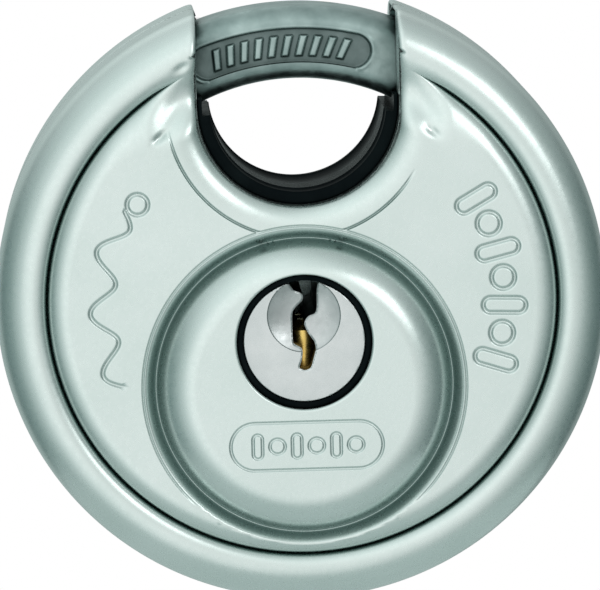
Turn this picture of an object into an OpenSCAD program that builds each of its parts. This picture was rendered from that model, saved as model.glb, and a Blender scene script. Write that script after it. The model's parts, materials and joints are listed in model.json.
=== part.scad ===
// Disc padlock: a round welded steel case with a shackle that turns inside it.
//
// Pieces are drawn in the case's front view: X to the right, Y up, Z out of the front face,
// with the case's axis at the origin. seat() stands them up in the part's own frame: +Z up,
// the keyway facing -Y, and the origin at the inner top of the shackle.
// Angles in the front view are clockwise from the top. Heights are along the front view's Z.

/* [Case] */
// Outer radius of the round case
case_r = 25; // [24.9:0.1:26]
// Sheet thickness of the two shells
wall = 1; // [0.8:0.1:1]
// Height of the flat front and rear faces above the weld seam
face_h = 8.7; // [8.7:0.1:9.2]
// Radius where the flat face meets its rounded shoulder
face_r = 19; // [18.5:0.1:19.2]
// Height of the straight side wall above the weld seam
land_h = 5.3; // [5:0.1:5.5]

/* [Lock boss] */
// Distance of the boss centre below the case's axis
boss_drop = 6.85; // [6.6:0.05:6.9]
// Radius of the valley around the boss
boss_r = 12; // [11.9:0.1:12.2]
// Radius of the boss's flat top
boss_flat_r = 9; // [8.9:0.1:9.2]
// Height of the boss's flat top above the weld seam
boss_h = 10; // [9.9:0.1:10.4]
// Height of the valley around the boss
moat_h = 7.65; // [7.65:0.05:7.8]

/* [Window] */
// Half the width of the window that the shackle crosses
window_r = 8.2; // [8:0.1:8.3]
// Height of the window arc's centre above the case's axis
window_rise = 16.1; // [16:0.1:16.6]
// Radius of the opening inside the plastic liner
liner_r = 7.2; // [6.8:0.1:7.4]

/* [Shackle] */
// Inner radius of the shackle
shackle_in_r = 17.8; // [17.8:0.05:18]
// Outer radius of the shackle
shackle_out_r = 23.8; // [23:0.1:23.8]
// Height of the shackle's front face above the weld seam
shackle_front = 3.8; // [3.2:0.1:3.8]
// Depth of the shackle's rear face behind the weld seam
shackle_rear = 4.2; // [4:0.1:4.2]
// Radius of the shackle's long edges
shackle_edge_r = 1.4; // [0.8:0.1:1.6]
// Angle of the shackle's rounded nose, left of the top
nose_angle = -43; // [-46:1:-38]
// Angle of the shackle's tail
tail_angle = 140; // [132:1:145]

/* [Cylinder] */
// Distance of the plug's axis below the case's axis
plug_drop = 3; // [2.9:0.05:3.1]
// Radius of the plug's body
plug_r = 4.7; // [4.65:0.01:4.72]
// Radius of the pins
pin_r = 1.2; // [1:0.05:1.2]
// Distance between the pin chambers
pin_pitch = 2.6; // [2.55:0.01:2.6]
// Heights of the key pins' tips above the plug's axis with the key in, front pin first
tip_heights = [1.4, 0.4, 1.0, -0.2];
// Length of the driver pins
driver_len = 3.2; // [2.6:0.1:3.6]
// Turns of each pin spring
spring_turns = 5; // [4:1:6]

/* [Drive] */
// Distance of the drive peg from the plug's axis
peg_orbit = 3.4; // [3.3:0.05:3.4]
// Full turn of the plug
plug_turn = 135; // [128:1:135]
// Radius of the stud that the carrier turns on
pivot_r = 1.9; // [1.5:0.1:1.9]

/* [Hidden] */
$fn = 96;

// Colours
satin_steel = [0.74, 0.79, 0.78];
dark_steel = [0.40, 0.44, 0.45];
zinc = [0.62, 0.63, 0.64];
nickel = [0.80, 0.82, 0.81];
brass = [0.80, 0.62, 0.27];
black = [0.06, 0.06, 0.07];

// Case
big = 60;                       // longer than the whole part
arc_steps = 8;                  // straight steps in each quarter of a pressed corner
seam_w = 0.3;                   // half width of the weld seam
groove_r = face_r + 1.8;        // valley between the face's shoulder and the rim bead
groove_h = face_h - 1.8;
bead_r = groove_r + 1.2;        // crest of the rim bead
bead_h = face_h - 0.4;
bank_r = boss_r + 1.2;          // where the boss's valley meets the flat face
boss_edge_r = 3.2;              // radius of the boss's upper edge
boss_slope = 60;                // steepest slope of the boss's side, in degrees
inner_face_h = face_h - wall;
plug_hole_r = 5.5;              // hole in the front shell
hole_bevel = 0.3;

// Window
shell_gap = 0.3;                // shells to the shackle
turned_in_r = window_r + wall;  // outer radius of the wall around the window
front_turned_in = shackle_front + shell_gap;
rear_turned_in = shackle_rear + shell_gap;
liner_outer_r = window_r - 0.05;
liner_h = face_h - 2.1;
sweep_gap = 0.4;                // core and liner to the shackle's inner radius

// Core
core_r = shackle_in_r - sweep_gap;
core_front = moat_h - wall - 0.1;
core_rear = shackle_rear - 0.2;
core_boss_r = boss_r - wall - 0.8;
core_boss_h = moat_h - 0.1;
core_window_r = turned_in_r + 0.1;
flange_r = groove_r + 0.4;
flange_top = groove_h - wall - 0.05;
bore_r = plug_r + 0.04;
chamber_r = pin_r + 0.05;
chamber_floor = -16;            // the strip closes the chambers here
strip_h = 1;
strip_half_w = chamber_r + 0.35;
strip_rear = -3.3;

// Cylinder
plate_r = boss_flat_r;
plate_h = core_boss_h + 0.05;
plate_top = boss_h - wall - 0.05;
plate_hole_r = 5;
plug_face = boss_h - 0.6;
plug_flange_r = plug_r + 0.25;
plug_rear = core_rear - 0.05;
keyway_end = -2.95;
scoop_r = 3;                    // dished area around the key's entry
scoop_rise = 2.1;
scoop_depth = 0.5;
ring_top = boss_h - 0.45;
ring_outer_r = plug_hole_r - 0.05;
clip_r = 6.2;
clip_inner_r = 4.1;
clip_t = 0.5;
clip_front = -3.35;
clip_mouth = 50;                // opening of the clip, in degrees
counterbore_r = clip_r + 0.3;
counterbore_floor = clip_front + 0.1;

// Pins, at their shear line: heights here are above the plug's axis
pin_count = len(tip_heights);
pin_front = 6.1;                // height of the front chamber over the weld seam
plug_chamber_top = 1.8;
shear_clear = 0.04;
driver_top = -plug_r - 0.06;
driver_foot = driver_top - driver_len;
tip_len = 0.8;
tip_r = 0.45;

// Springs
wire_r = 0.18;
coil_r = pin_r - wire_r - 0.12;
wire_sides = 6;
turn_steps = 14;
spring_gap = 0.04;

// Rear works: the plug's peg turns a carrier that is riveted to the shackle
carrier_front = -shackle_rear;
carrier_t = 1.4;
carrier_rear = carrier_front - carrier_t;
carrier_hub_r = 6.4;
carrier_r = shackle_out_r - 1;
carrier_start = 60;
carrier_end = 190;
peg_r = 1;
peg_gap = 0.07;
peg_rear = carrier_rear + 0.1;
peg_depth = 2;                  // length of the peg inside the plug
peg_angle = 180 - plug_turn / 2;
peg_x = peg_orbit * sin(peg_angle);
peg_y = peg_orbit * cos(peg_angle) - plug_drop;
slot_angle = 90 - atan2(peg_y, peg_x);
slot_near = norm([peg_x, peg_y]);
slot_far = peg_orbit + plug_drop;
carrier_turn = 360 - 2 * slot_angle;
plate_gap = 0.3;
backing_front = carrier_rear - plate_gap;
backing_rear = -inner_face_h + 0.1;
backing_r = core_r + 0.2;
post_r = 1.8;
posts = [[14.5, 48], [13, 280], [14.5, 312]];       // radius and angle
screw_r = 0.7;
screw_head_r = 1.5;
screw_tip = -1.5;
rivet_r = 0.9;
rivet_head_r = 1.4;
rivet_tip = -1;
rivet_orbit = (shackle_in_r + shackle_out_r) / 2;
rivet_angles = [75, 100, 125];
stop_r = 1;
stop_orbit = 12;
stop_half_angle = asin(stop_r / stop_orbit) + 0.2;
stop_angles = [carrier_start - stop_half_angle, carrier_end + carrier_turn + stop_half_angle];
stop_tip = -1;
pivot_shank_r = 1.5;
pivot_front = carrier_front - 0.1;
pivot_gap = 0.05;

// Shackle
mark_half_h = 1.3;              // half the height of the recessed panel
mark_orbit = 20.6;
mark_depth = 0.35;
mark_start = -24;
mark_end = 17;

function arc(c, a, b, from, to) = [
    for (i = [0:arc_steps]) let (t = from + (to - from) * i / arc_steps) c + [a * cos(t), b * sin(t)]
];

// Point on the front view at a radius and a clockwise angle from the top
function at(r, angle) = [r * sin(angle), r * cos(angle)];

module seat() translate([0, 0, -shackle_in_r]) rotate([90, 0, 0]) children();

module boss_axis() translate([0, -boss_drop, 0]) children();

module plug_axis() translate([0, -plug_drop, 0]) children();

module slab(from, to) translate([0, 0, from]) linear_extrude(to - from) children();

module disc(r, from, to) translate([0, 0, from]) cylinder(r = r, h = to - from);

module place(r, angle) translate([at(r, angle)[0], at(r, angle)[1], 0]) children();

// Two-dimensional sector between two clockwise angles, less than 180 degrees apart
module sector(r, from, to) {
    middle = (from + to) / 2;
    reach = r / cos((to - from) / 4);
    polygon([[0, 0], at(reach, from), at(reach, middle - (to - from) / 4), at(reach, middle),
        at(reach, middle + (to - from) / 4), at(reach, to)]);
}

// U outline of the window, open at the top
module window(r) translate([0, window_rise]) {
    circle(r);
    translate([-r, 0]) square([2 * r, big]);
}

// Pressed outer form of one shell, from the weld seam to its flat face
module case_form() rotate_extrude() polygon(concat(
    [[0, 0], [case_r - seam_w, 0], [case_r, seam_w]],
    arc([bead_r, land_h], case_r - bead_r, bead_h - land_h, 0, 90),
    arc([bead_r, groove_h], bead_r - groove_r, bead_h - groove_h, 90, 180),
    arc([face_r, groove_h], groove_r - face_r, face_h - groove_h, 0, 90),
    [[0, face_h]]
));

// The space inside that form, one sheet thickness in
module case_space() rotate_extrude() polygon(concat(
    [[0, -1], [case_r - wall, -1]],
    arc([bead_r, land_h], case_r - wall - bead_r, bead_h - wall - land_h, 0, 90),
    [[bead_r - 0.3, groove_h - wall], [groove_r - 0.9, groove_h - wall]],
    arc([face_r, groove_h], groove_r - wall - face_r, inner_face_h - groove_h, 0, 90),
    [[0, inner_face_h]]
));

// Everything above the valley around the boss
module above_moat(valley_r, valley_h, edge_r, edge_h) rotate_extrude()
    polygon([[0, valley_h], [valley_r, valley_h], [edge_r, edge_h], [edge_r, big], [0, big]]);

// Round boss with a sloping side and a rounded upper edge
module boss_form(edge_r, foot, top) {
    side = boss_flat_r + edge_r * sin(boss_slope);
    side_h = top - edge_r + edge_r * cos(boss_slope);
    rotate_extrude() polygon(concat(
        [[0, foot], [side + (side_h - foot) / tan(boss_slope), foot]],
        arc([boss_flat_r, top - edge_r], edge_r, edge_r, 90 - boss_slope, 90),
        [[0, top]]
    ));
}

module front_form() {
    difference() {
        case_form();
        boss_axis() above_moat(boss_r, moat_h, bank_r, face_h + 0.01);
    }
    boss_axis() boss_form(boss_edge_r, moat_h - 0.1, boss_h);
}

module front_space() {
    difference() {
        case_space();
        boss_axis() above_moat(boss_r + 0.4, moat_h - wall, bank_r + 0.5, inner_face_h + 0.05);
    }
    boss_axis() boss_form(boss_edge_r - wall, moat_h - wall - 0.1, boss_h - wall);
}

module front_shell() color(satin_steel) seat() difference() {
    front_form();
    difference() {
        front_space();
        slab(front_turned_in, big) window(turned_in_r);
    }
    slab(-1, big) window(window_r);
    plug_axis() {
        disc(plug_hole_r, 0, big);
        translate([0, 0, boss_h - hole_bevel])
            cylinder(r1 = plug_hole_r, r2 = plug_hole_r + 2 * hole_bevel, h = 2 * hole_bevel);
    }
}

module rear_shell() color(satin_steel) seat() mirror([0, 0, 1]) difference() {
    case_form();
    difference() {
        case_space();
        slab(rear_turned_in, big) window(turned_in_r);
    }
    slab(-1, big) window(window_r);
}

module weld_seam() color(dark_steel) seat() difference() {
    rotate_extrude() polygon([[case_r - seam_w, 0], [case_r, -seam_w], [case_r, seam_w]]);
    slab(-1, 1) window(window_r);
}

// Black plastic channel that lines the window under the shackle
module notch_liner() color(black) seat() intersection() {
    disc(core_r, -big, big);
    difference() {
        union() {
            slab(-liner_h, liner_h) window(liner_outer_r);
            slab(-rear_turned_in + 0.1, front_turned_in - 0.1) window(turned_in_r);
        }
        slab(-big, big) window(liner_r);
    }
}

module chambers(from, to) for (i = [0:pin_count - 1])
    translate([0, from, pin_front - i * pin_pitch]) rotate([-90, 0, 0])
        cylinder(r = chamber_r, h = to - from);

module core_housing() color(zinc) seat() difference() {
    union() {
        disc(core_r, -core_rear, core_front);
        disc(flange_r, front_turned_in, flange_top);
        boss_axis() disc(core_boss_r, core_front - 1, core_boss_h);
        for (p = posts) place(p[0], p[1]) disc(post_r, backing_front, 0);
    }
    slab(-big, big) window(core_window_r);
    plug_axis() {
        disc(bore_r, -big, big);
        disc(counterbore_r, -big, counterbore_floor);
    }
    chambers(chamber_floor, -plug_drop);
    translate([-strip_half_w, chamber_floor - strip_h, strip_rear])
        cube([2 * strip_half_w, strip_h, big]);
    for (p = posts) place(p[0], p[1]) disc(screw_r, -big, screw_tip);
    for (a = stop_angles) place(stop_orbit, a) disc(stop_r, -big, stop_tip);
}

// Strip that closes the pin chambers from below
module chamber_cover() color(zinc) seat()
    translate([-strip_half_w, chamber_floor - strip_h, strip_rear])
        cube([2 * strip_half_w, strip_h, core_boss_h - 0.05 - strip_rear]);

module anti_drill_plate() color(dark_steel) seat() difference() {
    boss_axis() disc(plate_r, plate_h, plate_top);
    plug_axis() disc(plate_hole_r, 0, big);
}

module dust_ring() color(black) seat() plug_axis() difference() {
    disc(ring_outer_r, plate_top + 0.02, ring_top);
    disc(plate_hole_r, 0, big);
}

module screw_head(r, head_r, rear) translate([0, 0, rear])
    cylinder(r1 = head_r, r2 = r, h = head_r - r);

module backing_plate() color(dark_steel) seat() difference() {
    disc(backing_r, backing_rear, backing_front);
    slab(-big, big) window(core_window_r);
    disc(pivot_shank_r, -big, 0);
    for (p = posts) place(p[0], p[1]) {
        disc(screw_r, -big, 0);
        screw_head(screw_r, screw_head_r, backing_rear);
    }
}

module backing_screws() color(nickel) seat() for (p = posts) place(p[0], p[1]) {
    disc(screw_r, backing_rear, screw_tip);
    screw_head(screw_r, screw_head_r, backing_rear);
}

module pivot_stud() color(nickel) seat() {
    disc(pivot_shank_r, backing_rear, backing_front);
    disc(pivot_r, backing_front, pivot_front);
}

module stop_pins() color(dark_steel) seat() for (a = stop_angles)
    place(stop_orbit, a) disc(stop_r, backing_front + 0.05, stop_tip);

// Outline of the key slot about the plug's axis, clockwise from its top left corner
module keyway() polygon([
    [-1.40, 5.20], [1.50, 5.20], [1.50, 4.95], [1.10, 4.55], [1.10, 2.25], [0.30, 1.95],
    [0, 1.40], [0.30, 0.65], [0.85, -0.10], [0.95, -0.65], [0.75, -1.30], [0.50, -2.20],
    [0, -2.40], [-0.50, -2.20], [-0.25, -1.50], [-0.15, -0.85], [-0.25, -0.55],
    [-0.80, -0.25], [-0.95, -0.10], [-0.95, 2.35], [-0.60, 2.80], [-0.10, 3.25],
    [0, 3.65], [-0.25, 3.95], [-0.80, 4.15], [-0.95, 4.40], [-1.40, 4.95]
]);

module plug() color(nickel) seat() plug_axis() difference() {
    union() {
        disc(plug_r, -plug_rear, plate_h);
        disc(plug_flange_r, plate_h, plug_face);
    }
    slab(keyway_end, big) keyway();
    scoop_sphere_r = (pow(scoop_r, 2) + pow(scoop_depth, 2)) / (2 * scoop_depth);
    translate([0, scoop_rise, plug_face - scoop_depth + scoop_sphere_r]) sphere(scoop_sphere_r);
    chambers(-plug_r - 1, plug_chamber_top);
    difference() {
        disc(plug_r + 1, clip_front - clip_t, clip_front);
        disc(clip_inner_r, -big, 0);
    }
    place(peg_orbit, peg_angle) disc(peg_r, -big, peg_depth - plug_rear);
}

// Open spring clip that keeps the plug in its bore. Its mouth leaves room for the drive peg.
module plug_circlip() color(dark_steel) seat() plug_axis() difference() {
    disc(clip_r, clip_front - clip_t, clip_front);
    disc(clip_inner_r, -big, 0);
    slab(-big, 0) sector(2 * clip_r, peg_angle - clip_mouth / 2, peg_angle + clip_mouth / 2);
}

module drive_peg() color(dark_steel) seat() plug_axis()
    place(peg_orbit, peg_angle) disc(peg_r, peg_rear, peg_depth - plug_rear);

// A pin standing in chamber i, from one height above the plug's axis to another
module pin_rod(i, from, to, foot_r, end_r, foot_len, end_len) seat() plug_axis()
    translate([0, from, pin_front - i * pin_pitch]) rotate([-90, 0, 0]) {
        cylinder(r1 = foot_r, r2 = pin_r, h = foot_len);
        translate([0, 0, foot_len]) cylinder(r = pin_r, h = to - from - foot_len - end_len);
        translate([0, 0, to - from - end_len]) cylinder(r1 = pin_r, r2 = end_r, h = end_len);
    }

// Key pin with a conical tip, and a foot that follows the plug's round surface
module key_pin(i) color(brass) intersection() {
    pin_rod(i, -plug_r, tip_heights[i], pin_r, tip_r, 0.1, tip_len);
    seat() plug_axis() disc(plug_r - shear_clear, -big, big);
}

module driver_pin(i) color(brass)
    pin_rod(i, driver_foot, driver_top, pin_r - 0.2, pin_r - 0.2, 0.2, 0.2);

// Coil spring under driver pin i: a ring of points swept along a helix
module pin_spring(i) {
    foot = chamber_floor + wire_r + spring_gap;
    rise = driver_foot - plug_drop - wire_r - spring_gap - foot;
    rings = spring_turns * turn_steps;
    points = [
        for (k = [0:rings], j = [0:wire_sides - 1])
            let (turn = 360 * k / turn_steps, side = 360 * j / wire_sides, r = coil_r + wire_r * cos(side))
                [r * cos(turn), r * sin(turn), foot + rise * k / rings + wire_r * sin(side)]
    ];
    sides = [
        for (k = [0:rings - 1], j = [0:wire_sides - 1])
            let (a = k * wire_sides, b = a + wire_sides, next = (j + 1) % wire_sides)
                [a + j, a + next, b + next, b + j]
    ];
    ends = [
        [for (j = [wire_sides - 1:-1:0]) j],
        [for (j = [0:wire_sides - 1]) rings * wire_sides + j]
    ];
    color(nickel) translate([0, i * pin_pitch - pin_front, -shackle_in_r])
        polyhedron(points, concat(sides, ends), convexity = 10);
}

// Rounded section of the shackle, centred on the given radius
module shackle_section(r) {
    half_w = (shackle_out_r - shackle_in_r) / 2;
    edge = shackle_edge_r;
    translate([r - half_w, edge - shackle_rear])
        square([2 * half_w, shackle_front + shackle_rear - 2 * edge]);
    translate([r - half_w + edge, -shackle_rear])
        square([2 * (half_w - edge), shackle_front + shackle_rear]);
    for (x = [r - half_w + edge, r + half_w - edge], y = [edge - shackle_rear, shackle_front - edge])
        translate([x, y]) circle(edge);
}

module shackle() color(dark_steel) seat() difference() {
    nose_r = (shackle_out_r - shackle_in_r) / 2 + 0.1;
    nose_centre = nose_angle + asin(nose_r / rivet_orbit);
    rotate([0, 0, 90 - tail_angle]) rotate_extrude(angle = tail_angle - nose_angle)
        shackle_section(rivet_orbit);
    // round the nose in plan
    slab(-big, big) difference() {
        sector(big, nose_angle - 10, nose_centre);
        translate(at(rivet_orbit, nose_centre)) circle(nose_r);
    }
    // recessed panel on the part that shows in the window
    rotate([0, 0, 90 - mark_end]) rotate_extrude(angle = mark_end - mark_start)
        translate([mark_orbit - mark_half_h, shackle_front - mark_depth]) square([2 * mark_half_h, big]);
    for (a = rivet_angles) place(rivet_orbit, a) disc(rivet_r, -big, rivet_tip);
}

module carrier_plate() color(dark_steel) seat() difference() {
    slab(carrier_rear, carrier_front) {
        circle(carrier_hub_r);
        intersection() {
            circle(carrier_r);
            sector(2 * carrier_r, carrier_start, carrier_end);
        }
    }
    disc(pivot_r + pivot_gap, -big, 0);
    rotate([0, 0, 90 - slot_angle]) {
        for (r = [slot_near, slot_far]) translate([r, 0, 0]) disc(peg_r + peg_gap, -big, 0);
        translate([slot_near, -peg_r - peg_gap, -big])
            cube([slot_far - slot_near, 2 * (peg_r + peg_gap), big]);
    }
    for (a = rivet_angles) place(rivet_orbit, a) {
        disc(rivet_r, -big, 0);
        screw_head(rivet_r, rivet_head_r, carrier_rear);
    }
}

module carrier_rivets() color(nickel) seat() for (a = rivet_angles) place(rivet_orbit, a) {
    disc(rivet_r, carrier_rear, rivet_tip);
    screw_head(rivet_r, rivet_head_r, carrier_rear);
}

front_shell();
rear_shell();
weld_seam();
notch_liner();
core_housing();
anti_drill_plate();
dust_ring();
chamber_cover();
backing_plate();
backing_screws();
pivot_stud();
stop_pins();
plug();
plug_circlip();
drive_peg();
key_pin(0);  // key_pin_1
key_pin(1);  // key_pin_2
key_pin(2);  // key_pin_3
key_pin(3);  // key_pin_4
driver_pin(0);  // driver_pin_1
driver_pin(1);  // driver_pin_2
driver_pin(2);  // driver_pin_3
driver_pin(3);  // driver_pin_4
pin_spring(0);  // pin_spring_1
pin_spring(1);  // pin_spring_2
pin_spring(2);  // pin_spring_3
pin_spring(3);  // pin_spring_4
shackle();
carrier_plate();
carrier_rivets();
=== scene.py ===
import json
import math

import bmesh
import bpy
import numpy as np
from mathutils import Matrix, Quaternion, Vector
from mathutils.geometry import delaunay_2d_cdt


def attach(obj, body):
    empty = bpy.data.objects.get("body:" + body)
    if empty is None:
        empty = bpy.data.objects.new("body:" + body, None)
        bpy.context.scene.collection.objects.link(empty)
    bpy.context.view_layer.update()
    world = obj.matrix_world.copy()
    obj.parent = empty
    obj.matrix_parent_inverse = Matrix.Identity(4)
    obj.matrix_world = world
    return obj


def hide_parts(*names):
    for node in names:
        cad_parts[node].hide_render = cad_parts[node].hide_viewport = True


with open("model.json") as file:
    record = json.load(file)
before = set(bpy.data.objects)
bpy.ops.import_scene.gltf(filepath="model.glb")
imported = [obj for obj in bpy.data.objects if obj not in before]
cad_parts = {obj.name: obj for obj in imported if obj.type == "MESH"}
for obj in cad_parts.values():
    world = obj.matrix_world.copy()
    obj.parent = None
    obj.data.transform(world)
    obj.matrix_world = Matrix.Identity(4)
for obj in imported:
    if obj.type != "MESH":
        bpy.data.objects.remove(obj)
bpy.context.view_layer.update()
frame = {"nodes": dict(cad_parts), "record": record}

# Shapes are worked out in millimetres in the case's front view: X to the right, Y up,
# Z out of the front face, with the case's axis at the origin. to_frame() stands them up.
# Angles in the front view are clockwise from the top.

MM = 0.001
link_object = bpy.context.scene.collection.objects.link
TINY = 1e-9
JOINTS = {j["name"]: j for j in frame["record"]["behaviour"]["joints"]}
AXIS_Z = JOINTS["shackle_turn"]["pos_m"][2]
PLUG_Y = (JOINTS["plug_turn"]["pos_m"][2] - AXIS_Z) / MM

# Case
CASE_R = 25.0
SHEET = 0.9
FACE_H = 8.7
FACE_R = 19.0
GROOVE_R = 20.8
GROOVE_H = 7.45
GROOVE_CREASE = 0.1
GROOVE_CREASE_W = 0.55
CREST_R = 22.0
CREST_H = 8.3
LAND_H = 5.3
SEAM = 0.3
RUN_STEP = 0.01
GRID_PITCH = 0.55

# Shoulder and hollow beside the window. A reach is the gap where it starts and ends to fade.
SHOULDER_SHIFT = 1.9
SHOULDER_REACH = (2.5, 8.0)
SADDLE_DEPTH = 0.85
SADDLE_LEAD = 0.6
SADDLE_REACH = (0.8, 4.4)

# Lock boss
BOSS_Y = -6.85
BOSS_R = 12.0
BOSS_FLAT_R = 8.85
BOSS_EDGE_R = 3.2
BOSS_SLOPE = 60.0
BOSS_H = 10.0
MOAT_H = 7.4
BOSS_BLEND = 0.12
BANK_R = 13.2
BANK_CREASE = 0.1
BANK_CREASE_W = 0.14
HOLE_R = 5.5
HOLE_EDGE = 0.2

# Window
WINDOW_R = 8.2
WINDOW_Y = 16.1
LIP_W = 2.55
LIP_DROP = 1.5
LIP_CREASE = 0.18
LIP_CREASE_W = 0.15
LIP_CREASE_FADE_RIGHT = (42, 62)
LIP_CREASE_FADE_LEFT = (66, 82)
LIP_FADE_R = (15.5, 22.6)
RIM_LIP_W = 0.7
RIM_LIP_DROP = 0.35
WALL_FRONT = 4.1
WALL_REAR = 4.5
LINER_R = 7.2
LINER_FOOT = 9.15
LINER_ANGLE = 94.0
LINER_STEP_ANGLE = 84.0
LINER_STEP = 0.6
LINER_OUT = 8.15
LINER_H = 6.6

# Shackle
SHACKLE_IN = 17.8
SHACKLE_OUT = 23.8
SHACKLE_MID = (SHACKLE_IN + SHACKLE_OUT) / 2
SHACKLE_HALF = (SHACKLE_OUT - SHACKLE_IN) / 2
SHACKLE_FRONT = 3.8
SHACKLE_REAR = 4.2
SHACKLE_EDGE = 1.4
SHACKLE_CROWN = 0.35
NOSE_ANGLE = -43.0
TAIL_ANGLE = 140.0

# Recessed panel on the shackle, and the bars raised in it. Starts, pitch and widths are degrees.
PANEL_START = -20.4
PANEL_END = 13.4
PANEL_R = 20.6
PANEL_HALF = 1.4
PANEL_DEPTH = 0.30
PANEL_RIM = 0.05
BARS = 10
BAR_START = -18.2
BAR_PITCH = 3.25
BAR_HALF = 0.85
BAR_REACH = 0.85
BAR_SLANT = 0.25
BAR_HEIGHT = 0.26

# Cylinder
PLUG_FACE = 9.4
PLUG_R = 4.7
FLANGE_R = 4.95
FLANGE_FOOT = 7.6
KEYWAY_END = -2.95
PLUG_REAR = -3.95
PLUG_BEVEL = 0.09
DISH_Y = 2.1
DISH_R = 3.0
DISH_DEPTH = 0.55
DISH_EDGE = 0.06
MOUTH_R = 0.12
MOUTH_DEPTH = 0.10


def turn_to_frame(vectors):
    """Front-view directions to the frame's."""
    v = np.asarray(vectors, dtype=float)
    return np.column_stack((v[:, 0], -v[:, 2], v[:, 1]))


def to_frame(points):
    """Front-view millimetres to the frame's metres."""
    return turn_to_frame(points) * MM + np.array([0.0, 0.0, AXIS_Z])


def front_view(point):
    """A point of the frame in front-view millimetres."""
    return point.x / MM, (point.z - AXIS_Z) / MM, -point.y / MM


def at(radius, degrees):
    """Point at a radius and a clockwise angle from the top."""
    a = np.radians(degrees)
    return np.array([radius * np.sin(a), radius * np.cos(a)])


def smooth_step(x, low, high):
    """0 below low, 1 above high, and a smooth rise between."""
    t = np.clip((x - low) / (high - low), 0, 1)
    return t * t * (3 - 2 * t)


# ---- mesh helpers

def add_object(name, points, faces, material, body, corner_normals=None):
    """A mesh piece from front-view points. corner_normals has one front-view normal a corner."""
    mesh = bpy.data.meshes.new(name)
    mesh.from_pydata(to_frame(points).tolist(), [], [list(f) for f in faces])
    mesh.update()
    for p in mesh.polygons:
        p.use_smooth = True
    if corner_normals is not None:
        mesh.normals_split_custom_set(turn_to_frame(corner_normals).tolist())
    obj = bpy.data.objects.new(name, mesh)
    link_object(obj)
    obj.data.materials.append(material)
    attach(obj, body)
    return obj


def finish_solid(obj, degrees=35):
    """Make the faces of a closed mesh point outwards, and mark edges sharper than an angle."""
    bm = bmesh.new()
    bm.from_mesh(obj.data)
    bmesh.ops.recalc_face_normals(bm, faces=bm.faces)
    for e in bm.edges:
        e.smooth = len(e.link_faces) == 2 and e.calc_face_angle(0) < math.radians(degrees)
    bm.to_mesh(obj.data)
    bm.free()


def arc(cx, cy, a, b, start, end, steps):
    """Points of an ellipse's arc, counter-clockwise from the right."""
    t = np.radians(np.linspace(start, end, steps + 1))
    return [(cx + a * math.cos(v), cy + b * math.sin(v)) for v in t]


def ring_faces(rings, n, closed=False):
    """Quads between rings of n points each, with end caps unless the rings close on themselves."""
    faces = []
    for i in range(rings if closed else rings - 1):
        k = (i + 1) % rings
        for j in range(n):
            m = (j + 1) % n
            faces.append((i * n + j, i * n + m, k * n + m, k * n + j))
    if not closed:
        faces += [tuple(range(n)), tuple((rings - 1) * n + j for j in range(n - 1, -1, -1))]
    return faces


def sweep(name, section, angles, centre, material, body, closed=False, thin=None):
    """Turn a closed (radius, height) section about an axis in the front view.

    thin is (angle, radius): further than that angle from the bottom, no point is nearer the axis.
    """
    points = []
    for a in angles:
        nearest = thin[1] if thin and abs(a - 180) > thin[0] else 0.0
        for r, h in section:
            x, y = at(max(r, nearest), a)
            points.append((centre[0] + x, centre[1] + y, h))
    faces = ring_faces(len(angles), len(section), closed)
    obj = add_object(name, points, faces, material, body)
    finish_solid(obj)
    return obj


def lathe(name, section, centre, material, body):
    """Closed solid of revolution from a profile that starts and ends on the axis."""
    points, faces = [(centre[0], centre[1], section[0][1]), (centre[0], centre[1], section[-1][1])], []
    inner = section[1:-1]
    n, steps = len(inner), 128
    for k in range(steps):
        s, c = math.sin(2 * math.pi * k / steps), math.cos(2 * math.pi * k / steps)
        points += [(centre[0] + r * s, centre[1] + r * c, h) for r, h in inner]
    for k in range(steps):
        a, b = 2 + k * n, 2 + (k + 1) % steps * n
        faces.append((0, a, b))
        for j in range(n - 1):
            faces.append((a + j, a + j + 1, b + j + 1, b + j))
        faces.append((a + n - 1, 1, b + n - 1))
    obj = add_object(name, points, faces, material, body)
    finish_solid(obj)
    return obj


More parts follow.
